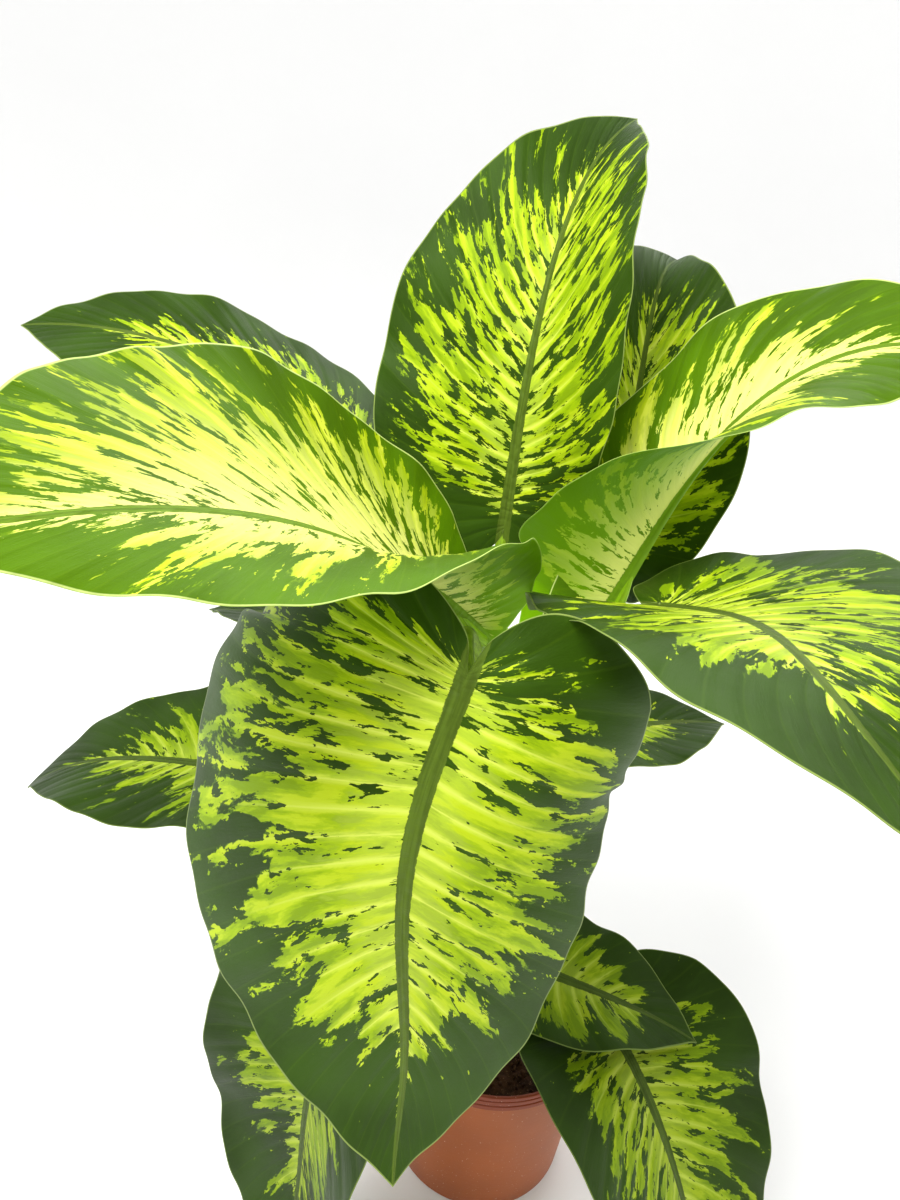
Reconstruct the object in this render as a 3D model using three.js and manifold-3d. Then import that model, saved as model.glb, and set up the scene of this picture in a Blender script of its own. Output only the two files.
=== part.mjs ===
// A dieffenbachia in a plastic nursery pot: one cane in soil and thirteen large waved leaves.
// Millimetres, +Z up, origin at the middle of the pot's underside. The plant is seen from -Y.

import * as THREE from 'three';
import Module from 'manifold-3d';

const wasm = await Module();
wasm.setup();

// Driving dimensions
const POT_HEIGHT = 145;
const POT_RIM_RADIUS = 82;
const POT_BASE_RADIUS = 67;
const POT_WALL = 1.6;
const POT_FLOOR = 2.6;
const POT_FOOT_CHAMFER = 1.5;
const RIM_BAND = 14;
const RIM_STEP = 3;
const RIM_GROOVE = 0.8;
const LIP_ROUNDING = 1.6;
const DRAIN_HOLES = 8;
const DRAIN_HOLE_RADIUS = 5;
const DRAIN_CIRCLE_RADIUS = 45;
const DRAIN_HOLE_SIDES = 10;
const ROUND_SIDES = 44;

const SOIL_DEPTH_UNDER_RIM = 12;
const SOIL_MOUND = 4;
const SOIL_EDGE_DROP = 3;
const SOIL_EDGE_WIDTH = 8;
const CLEARANCE = 0.3;

const CANE_RADIUS_LOW = 11.5;
const CANE_RADIUS_HIGH = 9;
const CANE_BURIED = 70;
const CANE_TOP = 428;
const CANE_SIDES = 12;
const CANE_RING_STEP = 21;
const CANE_RING_RISE = 0.9;
const CANE_RING_WIDTH = 2.4;
const CANE_FIRST_RING = 138;
const CANE_LAST_RING = 416;
const CANE_TIP_TAPER = 5;
const CANE_TIP_SHARE = 0.55;
const CANE_FOOT = new THREE.Vector3(0, 8, 130);
const CANE_LEAN_X = -26 / 300;
const CANE_LEAN_Y = -8 / 300;

const BLADE_THICKNESS = 0.8;
const BLADE_ROWS = 13;
const BLADE_COLUMNS = [0.36, 0.7, 1];
const RIB_DEPTH = 3.4;
const RIB_HALF_WIDTH = 3.6;
const RIB_TIP_SHARE = 0.12;
const RIB_TAPER = 0.8;
const WIDEST_RIB_SHARE = 0.2;
const STALK_SEAT = 9;
const STALK_RADIUS = 4;
const SHEATH_EXTRA = 2.2;
const STALK_SIDES = 7;
const STALK_RINGS = 7;
const STALK_END_IN_BLADE = 0.05;
const STALK_END_SHARE = 0.6;
const FINE_STEPS = 60;
const MERGE_GRID = 1e-4;

// One half of the blade laid flat, from the notch at its stalk round the lobe to the tip.
// The first number is along the midrib in blade lengths, the second is in half widths.
const OUTLINE = [
  [0, 0],
  [-0.05, 0.05],
  [-0.1, 0.24],
  [-0.09, 0.54],
  [-0.02, 0.8],
  [0.1, 0.95],
  [0.27, 1],
  [0.45, 0.95],
  [0.62, 0.79],
  [0.77, 0.55],
  [0.89, 0.27],
  [0.955, 0.1],
  [1, 0],
];

// Every leaf: where its stalk leaves the cane, how the stalk rises and how the blade hangs.
// Angles are degrees. half is how wide the blade is to the left and right of its midrib, shoulder
// is the share of that which its foot has. pitch, yaw and twist are at the blade's foot, middle and
// tip, fold is how far each half is raised at the foot and further out, and curl bends the halves at
// foot and tip. wave is the margin's height, its number of waves and where they start.
const LEAVES = {
  front: {
    height: 350, azimuth: -115, bow: 29, stalk: 320, rise: [79, 9], length: 271, half: [88.5, 116.5],
    pitch: [-52, -95, -71], yaw: [-29, -61, 8], twist: [-19, -47, 14],
    foldLeft: [12, -18], foldRight: [3, 6], curl: [-78, -14],
    lobe: 1.2, shoulder: [1.17, 1.38], wave: [3, 2.3, 0.1],
  },
  left_young: {
    height: 424, azimuth: -103, bow: 2, stalk: 107, rise: [61, 34], length: 323, half: [88.5, 106],
    pitch: [47, 25, 4], yaw: [-31, -22, -18], twist: [7, -6, -29],
    foldLeft: [26, -9], foldRight: [18, 15], curl: [74, -12],
    lobe: 1.4, shoulder: [0.2, 0.94], wave: [4, 2.2, 0.3],
  },
  upright: {
    height: 397, azimuth: 126, bow: -52, stalk: 124, rise: [84, 75], length: 292, half: [96, 86],
    pitch: [78, 62, 18], yaw: [2, -4, -22], twist: [12, -4, 30],
    foldLeft: [16, 8], foldRight: [12, 38], curl: [10, 0],
    lobe: 0.7, shoulder: [0.8, 0.4], wave: [4, 3.2, 0.55],
  },
  right_young: {
    height: 410, azimuth: -5, bow: 4, stalk: 94, rise: [73, 39], length: 282, half: [76, 83],
    pitch: [69, 51, -35], yaw: [0, -5, -20], twist: [-27, 13, 52],
    foldLeft: [104, 5], foldRight: [86, 9], curl: [30, -31],
    lobe: 2.2, shoulder: [0.57, 0.86], wave: [4, 3.4, 0.2],
  },
  right: {
    height: 373, azimuth: -54, bow: 2, stalk: 190, rise: [71, 43], length: 250, half: [85.5, 92],
    pitch: [22, 12, -32], yaw: [-6, -37, 1], twist: [10, 8, -18],
    foldLeft: [3, 1], foldRight: [21, 8], curl: [6, -8],
    lobe: 1.7, shoulder: [1.07, 0.98], wave: [4, 2.8, 0.6],
  },
  back_left: {
    height: 361, azimuth: 86, bow: 110, stalk: 230, rise: [84, 34], length: 262, half: [76, 76],
    pitch: [30, 12, -12], yaw: [-34, -26, -34], twist: [4, -6, -28],
    foldLeft: [8, -3], foldRight: [4, 11], curl: [-5, -3],
    lobe: 0.5, shoulder: [1, 0.7], wave: [3, 2.4, 0.8],
  },
  back_right: {
    height: 344, azimuth: 50, bow: 0, stalk: 166, rise: [66, 50], length: 245, half: [76, 78],
    pitch: [72, 66, -8], yaw: [16, 30, 10], twist: [4, 22, 0],
    foldLeft: [24, 26], foldRight: [36, 34], curl: [8, 5],
    lobe: 0.9, shoulder: [0.7, 0.9], wave: [3, 2.6, 0.4],
  },
  small_right: {
    height: 290, azimuth: 20, bow: 8, stalk: 98, rise: [75, 62], length: 147, half: [38, 46],
    pitch: [-12, -9, -16], yaw: [0, 2, -6], twist: [8, 10, -3],
    foldLeft: [20, 13], foldRight: [9, 9], curl: [-5, 0],
    lobe: 0.8, shoulder: [1, 1], wave: [2.5, 2.2, 0.7],
  },
  hidden_left: {
    height: 302, azimuth: -168, bow: -38, stalk: 148, rise: [74, 49], length: 166, half: [50, 50],
    pitch: [13, -9, -17], yaw: [0, -4, -2], twist: [0, 2, 0],
    foldLeft: [20, 14], foldRight: [20, 12], curl: [0, 0],
    lobe: 1.2, shoulder: [1, 1], wave: [2.5, 2.5, 0.15],
  },
  low_left: {
    height: 225, azimuth: -178, bow: -4, stalk: 182, rise: [58, 18], length: 219, half: [68.5, 68.5],
    pitch: [0, -12, -46], yaw: [0, -10, -6], twist: [-5, -9, 0],
    foldLeft: [13, 5], foldRight: [21, 10], curl: [-2, -2],
    lobe: 1.2, shoulder: [1, 1], wave: [3, 2.5, 0.5],
  },
  bottom_left: {
    height: 175, azimuth: -127, bow: 0, stalk: 195, rise: [58, 9], length: 231, half: [81, 81],
    pitch: [-58, -86, -60], yaw: [0, -3, 5], twist: [0, 8, -5],
    foldLeft: [21, 16], foldRight: [23, 14], curl: [5, 4],
    lobe: 1.2, shoulder: [1, 1], wave: [3, 2.7, 0.35],
  },
  bottom_small: {
    height: 238, azimuth: -69, bow: 2, stalk: 55, rise: [17, -7], length: 117, half: [48, 46.5],
    pitch: [-1, -9, -23], yaw: [42, 52, 49], twist: [12, 4, -6],
    foldLeft: [15, 9], foldRight: [1, 9], curl: [-5, 0],
    lobe: 0.7, shoulder: [1.02, 1.07], wave: [2, 2.4, 0.9],
  },
  bottom_right: {
    height: 156, azimuth: -49, bow: 2, stalk: 115, rise: [56, 12], length: 228, half: [85.5, 86],
    pitch: [-6, -56, -45], yaw: [-14, -5, -8], twist: [5, -8, -3],
    foldLeft: [14, 12], foldRight: [15, 15], curl: [2, 3],
    lobe: 1.2, shoulder: [1.05, 0.98], wave: [3, 2.6, 0.65],
  },
};
const FOLD_REACH = 0.35;
const FOLD_START = -0.05;
const SHOULDER_REACH = 0.22;
const LEFT_WAVE_LEAD = 0.13;
const SLOPE_STEP = 0.5;
const ON_MIDRIB = 1e-6;
const VEIN_LEAN = 0.1;

// Small maths

const radians = THREE.MathUtils.degToRad;

function through([start, middle, end], s) {
  return start * (1 - s) * (1 - 2 * s) + middle * 4 * s * (1 - s) + end * s * (2 * s - 1);
}

function heading(azimuth, pitch) {
  const flat = Math.cos(pitch);
  return new THREE.Vector3(flat * Math.cos(azimuth), flat * Math.sin(azimuth), Math.sin(pitch));
}

function smoothRow(points, place) {
  const last = points.length - 1;
  const index = Math.min(Math.floor(place), last - 1);
  const f = place - index;
  const before = points[index - 1] ?? points[0].map((c, i) => 2 * c - points[1][i]);
  const after = points[index + 2] ?? points[last].map((c, i) => 2 * c - points[last - 1][i]);
  return before.map((a, i) => {
    const b = points[index][i];
    const c = points[index + 1][i];
    const d = after[i];
    const square = 2 * a - 5 * b + 4 * c - d;
    const cube = 3 * b - a - 3 * c + d;
    return 0.5 * (2 * b + (c - a) * f + square * f ** 2 + cube * f ** 3);
  });
}

// Closed solids

function solidFrom(positions, triangles) {
  const key = new Map();
  const vertices = [];
  const index = positions.map((p) => {
    const name = p.toArray().map((c) => Math.round(c / MERGE_GRID)).join(' ');
    if (!key.has(name)) {
      key.set(name, vertices.length / 3);
      vertices.push(...p.toArray());
    }
    return key.get(name);
  });
  const faces = triangles
    .map((t) => t.map((i) => index[i]))
    .filter(([a, b, c]) => a !== b && b !== c && c !== a);
  return new wasm.Manifold(new wasm.Mesh({
    numProp: 3,
    vertProperties: new Float32Array(vertices),
    triVerts: new Uint32Array(faces.flat()),
  }));
}

function solidFromGeometry(geometry) {
  const position = geometry.getAttribute('position');
  const points = [];
  for (let i = 0; i < position.count; i += 1) {
    points.push(new THREE.Vector3().fromBufferAttribute(position, i));
  }
  const order = geometry.index ? Array.from(geometry.index.array) : points.map((_, i) => i);
  const faces = [];
  for (let i = 0; i < order.length; i += 3) {
    faces.push([order[i], order[i + 1], order[i + 2]]);
  }
  return solidFrom(points, faces);
}

function geometryFrom(solid) {
  const mesh = solid.getMesh();
  const geometry = new THREE.BufferGeometry();
  geometry.setAttribute('position', new THREE.BufferAttribute(mesh.vertProperties, 3));
  geometry.setIndex(new THREE.BufferAttribute(mesh.triVerts, 1));
  return geometry;
}

// A round rod along centres, with a radius and a pair of cross axes at each.
function rod(centres, radii, axes, sides) {
  const positions = [];
  const triangles = [];
  centres.forEach((centre, ring) => {
    for (let k = 0; k < sides; k += 1) {
      const angle = (2 * Math.PI * k) / sides;
      positions.push(centre.clone()
        .addScaledVector(axes[ring][0], radii[ring] * Math.cos(angle))
        .addScaledVector(axes[ring][1], radii[ring] * Math.sin(angle)));
    }
  });
  for (let ring = 0; ring < centres.length - 1; ring += 1) {
    for (let k = 0; k < sides; k += 1) {
      const a = ring * sides + k;
      const b = ring * sides + ((k + 1) % sides);
      triangles.push([a, b, b + sides], [a, b + sides, a + sides]);
    }
  }
  const start = positions.push(centres[0].clone()) - 1;
  const end = positions.push(centres[centres.length - 1].clone()) - 1;
  const lastRing = (centres.length - 1) * sides;
  for (let k = 0; k < sides; k += 1) {
    const next = (k + 1) % sides;
    triangles.push([start, next, k], [end, lastRing + k, lastRing + next]);
  }
  return solidFrom(positions, triangles);
}

// Cane

function caneCentre(z) {
  const up = z - CANE_FOOT.z;
  return new THREE.Vector3(CANE_FOOT.x + CANE_LEAN_X * up, CANE_FOOT.y + CANE_LEAN_Y * up, z);
}

function caneRadius(z) {
  const share = (z - CANE_BURIED) / (CANE_TOP - CANE_BURIED);
  return THREE.MathUtils.lerp(CANE_RADIUS_LOW, CANE_RADIUS_HIGH, share);
}

// The leaf scars are rings: the cane steps out under each and draws in above it.
function caneSolid(grown) {
  const heights = [[CANE_BURIED - grown, 0]];
  for (let z = CANE_FIRST_RING; z < CANE_LAST_RING; z += CANE_RING_STEP) {
    heights.push([z, CANE_RING_RISE], [z + CANE_RING_WIDTH, 0]);
  }
  heights.push([CANE_TOP - CANE_TIP_TAPER, 0]);
  heights.push([CANE_TOP + grown, (CANE_TIP_SHARE - 1) * CANE_RADIUS_HIGH]);
  const across = [new THREE.Vector3(1, 0, 0), new THREE.Vector3(0, 1, 0)];
  return rod(
    heights.map(([z]) => caneCentre(z)),
    heights.map(([z, rise]) => caneRadius(z) + rise + grown),
    heights.map(() => across),
    CANE_SIDES,
  );
}

// Leaf: a stalk with its sheath, and a blade on a midrib that bends, turns and twists

class LeafShape {
  constructor(leaf) {
    this.leaf = leaf;
    const azimuth = radians(leaf.azimuth);
    const seat = caneCentre(leaf.height).addScaledVector(heading(azimuth, 0), STALK_SEAT);
    this.stalk = this.walk(seat, leaf.stalk, (s) => [
      azimuth + radians(leaf.bow) * s,
      radians(THREE.MathUtils.lerp(leaf.rise[0], leaf.rise[1], s)),
    ]);
    const end = azimuth + radians(leaf.bow);
    this.midrib = this.walk(this.stalk.at(-1).point, leaf.length, (s) => [
      end + radians(through(leaf.yaw, s)),
      radians(through(leaf.pitch, s)),
    ]);
    this.midrib.forEach((place) => {
      const twist = radians(through(leaf.twist, place.s));
      place.side.applyAxisAngle(place.along, twist);
      place.normal.applyAxisAngle(place.along, twist);
    });
  }

  walk(start, length, turn) {
    const places = [];
    const point = start.clone();
    for (let i = 0; i <= FINE_STEPS; i += 1) {
      const s = i / FINE_STEPS;
      const [azimuth, pitch] = turn(s);
      const along = heading(azimuth, pitch);
      if (i > 0) {
        const step = along.clone().add(places[i - 1].along).multiplyScalar(length / FINE_STEPS / 2);
        point.add(step);
      }
      const side = new THREE.Vector3(-Math.sin(azimuth), Math.cos(azimuth), 0);
      const normal = along.clone().cross(side);
      places.push({ s, point: point.clone(), along, side, normal });
    }
    return places;
  }

  halfWidth(hand) {
    return hand > 0 ? this.leaf.half[0] : this.leaf.half[1];
  }

  // How far out the margin is at u, for an outline that is flatV half widths wide there.
  marginAt(u, flatV, hand) {
    const shoulder = hand > 0 ? this.leaf.shoulder[0] : this.leaf.shoulder[1];
    const narrow = (1 - shoulder) * Math.exp(-Math.max(u, 0) / SHOULDER_REACH);
    return Math.max(flatV, 0) * this.halfWidth(hand) * (1 - narrow);
  }

  // The midrib's place at u, run on straight behind the stalk for the lobes.
  frame(u) {
    const inside = THREE.MathUtils.clamp(u, 0, 1);
    const index = Math.min(Math.floor(inside * FINE_STEPS), FINE_STEPS - 1);
    const f = inside * FINE_STEPS - index;
    const a = this.midrib[index];
    const b = this.midrib[index + 1];
    const mix = (name) => a[name].clone().lerp(b[name], f);
    const along = mix('along');
    const point = mix('point').addScaledVector(along, (u - inside) * this.leaf.length);
    return { point, along, side: mix('side'), normal: mix('normal') };
  }

  // Across the half blade: how far out and how high a point lies that is v mm from the midrib.
  section(u, v, hand) {
    const { leaf } = this;
    const [near, far] = hand > 0 ? leaf.foldLeft : leaf.foldRight;
    const reach = Math.exp(-Math.max(u - FOLD_START, 0) / FOLD_REACH);
    const share = v / this.halfWidth(hand);
    const bend = THREE.MathUtils.lerp(leaf.curl[0], leaf.curl[1], THREE.MathUtils.clamp(u, 0, 1));
    const angle = radians(far + (near - far) * reach + 0.5 * bend * share);
    const [height, count, phase] = leaf.wave;
    const turn = count * u + phase + (hand > 0 ? LEFT_WAVE_LEAD : 0);
    const wave = height * share ** 2 * Math.sin(2 * Math.PI * turn);
    return [v * Math.cos(angle), v * Math.sin(angle) + wave];
  }

  // A point of the blade, lifted off its middle surface by lift.
  place(u, v, hand, lift) {
    const { point, side, normal } = this.frame(u);
    const [out, high] = this.section(u, v, hand);
    point.addScaledVector(side, hand * out).addScaledVector(normal, high);
    if (v < ON_MIDRIB) {
      return point.addScaledVector(normal, lift);
    }
    const [nextOut, nextHigh] = this.section(u, v + SLOPE_STEP, hand);
    const slope = Math.atan2(nextHigh - high, nextOut - out);
    return point
      .addScaledVector(normal, lift * Math.cos(slope))
      .addScaledVector(side, -hand * lift * Math.sin(slope));
  }
}

// Side veins run from the midrib at veinRoot to the margin: those of the lobes start together.
function veinRoot(u) {
  return Math.max(0, (u - VEIN_LEAN) / (1 - VEIN_LEAN));
}

function ribShare(u) {
  return RIB_TIP_SHARE + (1 - RIB_TIP_SHARE) * Math.max(0, 1 - u) ** RIB_TAPER;
}

function bladeSolid(shape) {
  const { leaf } = shape;
  const half = BLADE_THICKNESS / 2;
  const positions = [];
  const triangles = [];

  // Upper and lower corners along one side vein, from the midrib out to the margin.
  const vein = (row, hand) => {
    const [flatU, flatV] = smoothRow(OUTLINE, (row / BLADE_ROWS) * (OUTLINE.length - 1));
    const rimU = flatU < 0 ? flatU * leaf.lobe : flatU;
    const rimV = shape.marginAt(rimU, flatV, hand);
    const root = veinRoot(rimU);
    const reach = Math.hypot((rimU - root) * leaf.length, rimV);
    const ribWidth = RIB_HALF_WIDTH * ribShare(root);
    const ribEdge = Math.min(WIDEST_RIB_SHARE, ribWidth / Math.max(reach, 1));
    return [0, ribEdge, ...BLADE_COLUMNS].map((t) => {
      const u = THREE.MathUtils.lerp(root, rimU, t);
      const keel = t === 0 ? RIB_DEPTH * ribShare(root) : 0;
      const upper = positions.push(shape.place(u, rimV * t, hand, half)) - 1;
      const lower = positions.push(shape.place(u, rimV * t, hand, -half - keel)) - 1;
      return { upper, lower };
    });
  };
  const quad = (corners, flip) => {
    const [a, b, c, d] = corners;
    triangles.push(flip ? [a, c, b] : [a, b, c], flip ? [a, d, c] : [a, c, d]);
  };

  [1, -1].forEach((hand) => {
    const right = hand < 0;
    let here = vein(0, hand);
    for (let row = 1; row <= BLADE_ROWS; row += 1) {
      const next = vein(row, hand);
      for (let c = 0; c < here.length - 1; c += 1) {
        const face = [here[c], next[c], next[c + 1], here[c + 1]];
        quad(face.map((corner) => corner.upper), right);
        quad(face.map((corner) => corner.lower), !right);
      }
      const a = here.at(-1);
      const b = next.at(-1);
      quad([a.upper, b.upper, b.lower, a.lower], right);
      here = next;
    }
  });
  return solidFrom(positions, triangles);
}

// The stalk is a rod that is stout at its sheath and ends inside the midrib.
function stalkSolid(shape) {
  const rings = [];
  for (let i = 0; i < STALK_RINGS; i += 1) {
    const s = i / (STALK_RINGS - 1);
    const place = shape.stalk[Math.round(s * FINE_STEPS)];
    rings.push({ ...place, radius: STALK_RADIUS + SHEATH_EXTRA * (1 - s) ** 2 });
  }
  const inner = shape.frame(STALK_END_IN_BLADE);
  inner.radius = RIB_DEPTH * STALK_END_SHARE;
  inner.point.addScaledVector(inner.normal, -inner.radius);
  rings.push(inner);
  return rod(
    rings.map((ring) => ring.point),
    rings.map((ring) => ring.radius),
    rings.map((ring) => [ring.side, ring.normal]),
    STALK_SIDES,
  );
}

function largestPiece(solid) {
  return solid.decompose().reduce((best, piece) => (piece.volume() > best.volume() ? piece : best));
}

function leafSolid(leaf) {
  const shape = new LeafShape(leaf);
  const whole = bladeSolid(shape).add(stalkSolid(shape));
  return largestPiece(whole.subtract(caneSolid(CLEARANCE)));
}

// Pot and soil are turned shapes

function turned(profile) {
  const outline = profile.map(([radius, z]) => new THREE.Vector2(radius, z));
  const geometry = new THREE.LatheGeometry(outline, ROUND_SIDES);
  geometry.rotateX(Math.PI / 2);
  return solidFromGeometry(geometry);
}

function outerRadius(z) {
  const under = POT_HEIGHT - RIM_BAND;
  return THREE.MathUtils.lerp(POT_BASE_RADIUS, POT_RIM_RADIUS - RIM_STEP, z / under);
}

function potSolid() {
  const under = POT_HEIGHT - RIM_BAND;
  const groove = POT_HEIGHT - RIM_BAND / 2;
  const inner = (z) => outerRadius(z) - POT_WALL;
  let pot = turned([
    [0, 0],
    [POT_BASE_RADIUS - POT_FOOT_CHAMFER, 0],
    [outerRadius(POT_FOOT_CHAMFER), POT_FOOT_CHAMFER],
    [outerRadius(under), under],
    [POT_RIM_RADIUS, under + RIM_GROOVE],
    [POT_RIM_RADIUS, groove - RIM_GROOVE],
    [POT_RIM_RADIUS - RIM_GROOVE, groove],
    [POT_RIM_RADIUS, groove + RIM_GROOVE],
    [POT_RIM_RADIUS, POT_HEIGHT - LIP_ROUNDING / 2],
    [POT_RIM_RADIUS - LIP_ROUNDING / 2, POT_HEIGHT],
    [POT_RIM_RADIUS - 2 * LIP_ROUNDING, POT_HEIGHT],
    [inner(under), under],
    [inner(POT_FLOOR), POT_FLOOR],
    [0, POT_FLOOR],
  ]);
  for (let i = 0; i < DRAIN_HOLES; i += 1) {
    const angle = (2 * Math.PI * i) / DRAIN_HOLES;
    const depth = 4 * POT_FLOOR;
    const drill = new THREE.CylinderGeometry(DRAIN_HOLE_RADIUS, DRAIN_HOLE_RADIUS, depth, DRAIN_HOLE_SIDES);
    drill.rotateX(Math.PI / 2);
    drill.translate(DRAIN_CIRCLE_RADIUS * Math.cos(angle), DRAIN_CIRCLE_RADIUS * Math.sin(angle), 0);
    pot = pot.subtract(solidFromGeometry(drill));
  }
  return pot;
}

function soilSolid() {
  const top = POT_HEIGHT - SOIL_DEPTH_UNDER_RIM;
  const bottom = POT_FLOOR + CLEARANCE;
  const fill = (z) => outerRadius(Math.min(z, POT_HEIGHT - RIM_BAND)) - POT_WALL - CLEARANCE;
  const soil = turned([
    [0, bottom],
    [fill(bottom), bottom],
    [fill(top - SOIL_EDGE_DROP), top - SOIL_EDGE_DROP],
    [fill(top) - SOIL_EDGE_WIDTH, top],
    [fill(top) / 2, top + 0.7 * SOIL_MOUND],
    [0, top + SOIL_MOUND],
  ]);
  return soil.subtract(caneSolid(CLEARANCE));
}

// The plant in its pot

const FINISH = {
  pot: { color: '#a8603c', roughness: 0.45 },
  soil: { color: '#23150c', roughness: 1 },
  cane: { color: '#6f8a3c', roughness: 0.6 },
  leaf: { color: '#4f7f2a', roughness: 0.4 },
  youngLeaf: { color: '#8fbf2a', roughness: 0.4 },
};

function named(name, solid, finish) {
  const material = new THREE.MeshStandardMaterial({ ...FINISH[finish], metalness: 0 });
  const mesh = new THREE.Mesh(geometryFrom(solid), material);
  mesh.name = name;
  return mesh;
}

const plant = new THREE.Group();
plant.name = 'potted_dieffenbachia';
plant.add(named('pot', potSolid(), 'pot'));
plant.add(named('soil', soilSolid(), 'soil'));
plant.add(named('cane', caneSolid(0), 'cane'));
Object.entries(LEAVES).forEach(([name, leaf]) => {
  const finish = name.endsWith('young') ? 'youngLeaf' : 'leaf';
  plant.add(named(`leaf_${name}`, leafSolid(leaf), finish));
});

export default plant;
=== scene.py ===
import math

import bmesh
import bpy
import numpy as np
from mathutils import Matrix, Vector


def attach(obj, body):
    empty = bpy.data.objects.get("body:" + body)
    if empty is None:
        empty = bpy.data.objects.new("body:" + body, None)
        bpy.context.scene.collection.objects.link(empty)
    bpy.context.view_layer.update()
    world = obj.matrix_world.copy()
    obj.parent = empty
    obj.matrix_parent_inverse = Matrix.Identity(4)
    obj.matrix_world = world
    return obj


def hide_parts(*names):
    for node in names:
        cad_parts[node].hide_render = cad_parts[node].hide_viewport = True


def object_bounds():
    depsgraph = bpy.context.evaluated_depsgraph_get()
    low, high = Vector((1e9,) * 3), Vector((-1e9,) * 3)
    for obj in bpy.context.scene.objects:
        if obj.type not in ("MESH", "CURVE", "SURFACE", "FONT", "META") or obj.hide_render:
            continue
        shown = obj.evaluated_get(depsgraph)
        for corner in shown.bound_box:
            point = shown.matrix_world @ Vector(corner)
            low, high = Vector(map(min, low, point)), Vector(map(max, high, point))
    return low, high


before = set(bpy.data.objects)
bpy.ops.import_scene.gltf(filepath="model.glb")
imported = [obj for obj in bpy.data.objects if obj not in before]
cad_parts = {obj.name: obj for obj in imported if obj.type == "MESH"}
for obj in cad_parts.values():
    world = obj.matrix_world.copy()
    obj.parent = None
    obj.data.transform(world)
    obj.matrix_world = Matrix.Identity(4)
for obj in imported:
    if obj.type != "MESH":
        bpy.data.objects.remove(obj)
cad_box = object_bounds()

MM = 0.001
SEED = 17
MERGE_DISTANCE = 1e-6

# Camera where the photograph was taken from, in metres. Its lens and sensor are in millimetres.
CAMERA_PLACE = Vector((-0.060, -0.520, 0.735))
CAMERA_DOWN = math.radians(26)
CAMERA_ROLL = math.radians(5)
CAMERA_LENS = 28.5
CAMERA_SENSOR = 36
CAMERA_NEAR = 0.01

# Floor and light in metres and watts. A lamp has a place, the size of its disc and its power.
FLOOR_RADIUS = 2.6
FLOOR_CENTRE = 0.05
FLOOR_RINGS = 12
FLOOR_SIDES = 96
FLOOR_BEND = 1.6
BEND_RINGS = 14
WALL_TOP = 3.4
WORLD_STRENGTH = 0.76
LAMP_AIM = Vector((0, 0, 0.45))
LAMPS = {
    "key": ((-0.8, -0.9, 2.5), 1.2, 72),
    "fill": ((1.6, -0.9, 1.5), 1.6, 6),
    "back": ((0.5, 1.7, 2.1), 1.4, 16),
}

# Pot, in millimetres as the soil, the cane and the leaves are
POT_HEIGHT = 145
POT_RIM_RADIUS = 82
POT_BASE_RADIUS = 67
POT_WALL = 1.6
POT_FLOOR = 2.6
POT_SIDES = 160
RIM_BAND = 14
RIM_FOOT = POT_HEIGHT - RIM_BAND
RIM_STEP = 3
RIM_WALL = 2.4
RIM_INSET = 0.4
RIM_GROOVE_DEPTH = 0.8
RIM_GROOVE_ROUNDING = 0.3
# Each groove's height over the rim's foot, and the rim's inset below and above it
RIM_GROOVES = ((4, RIM_INSET, RIM_INSET), (9, 0.2, 0))
CENTRE_RADIUS = 0.02
DRAIN_HOLES = 8
DRAIN_HOLE_RADIUS = 5
DRAIN_HOLE_SIDES = 28
DRAIN_CIRCLE_RADIUS = 45
DRILL_BELOW = 3

# Soil. Its waves have a height, a count and the range of their sizes.
SOIL_DEPTH_UNDER_RIM = 12
SOIL_MOUND = 4
SOIL_SINK = 0.6
SOIL_RINGS = 90
SOIL_SIDES = 220
SOIL_LUMPS = (0.7, 9, 3, 7)
SOIL_GRAINS = (0.45, 14, 0.9, 2)
SOIL_RELIEF = (-1.6, 1.3)
SOIL_CALM_EDGE = 6
SOIL_SHOULDER = 3
SOIL_WAIST = 60
CLEARANCE = 0.3
CRUMBS = 520
CRUMB_SPREAD = (0.01, 0.93)
CRUMB_SIZE = (0.7, 2.4)
CRUMB_STRETCH = (0.6, 1.5)
CRUMB_LUMP = (0.8, 1.2)
CRUMB_FLATNESS = 0.7
CRUMB_LIFT = 0.4
CRUMB_SIDES = 8
CRUMB_RINGS = np.array([0.05, 0.45, 0.85, 1.0, 0.8, 0.4, 0.05])
CRUMB_HEIGHTS = np.array([-1, -0.75, -0.35, 0, 0.4, 0.75, 0.98])

# Cane. A ring scar has a sharp ridge and a soft swelling under it, each with a height, its place
# in the turn from one ring to the next, and its width there.
CANE_RADIUS_LOW = 11.5
CANE_RADIUS_HIGH = 9
CANE_BURIED = 70
CANE_TOP = 428
CANE_FOOT = np.array([0, 8, 130.0])
CANE_LEAN = np.array([-26 / 300, -8 / 300, 1])
CANE_SIDES = 40
CANE_FIRST_ROW = 2
CANE_LAST_ROW = 5
CANE_ROW_STEP = 1.5
CANE_SINK = 0.25
CANE_RING_STEP = 21
CANE_FIRST_RING = 138
CANE_RIDGES = ((0.9, 0.06, 0.05), (0.5, 0.94, 0.12))
# The cane's rounded end: each ring's radius and its distance from the top
CANE_END = ((CANE_RADIUS_HIGH - 0.6, 4), (CANE_RADIUS_HIGH * 0.62, 0.8), (CANE_RADIUS_HIGH * 0.4, 0))

# Blade. Its folds, shoulders and margin are placed in shares of its length or half width.
BLADE_THICKNESS = 0.6
FINE_STEPS = 240
ROW_STEP = 2.3
OUTLINE_SAMPLES = 600
SLOPE_STEP = 0.5
FOLD_REACH = 0.35
FOLD_START = -0.05
SHOULDER_REACH = 0.22
LEFT_WAVE_LEAD = 0.13
MARGIN_START = 0.97
MARGIN_MIDDLE = 0.99
MARGIN_THINNING = 0.5
BLADE_COLUMNS = 20

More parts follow.
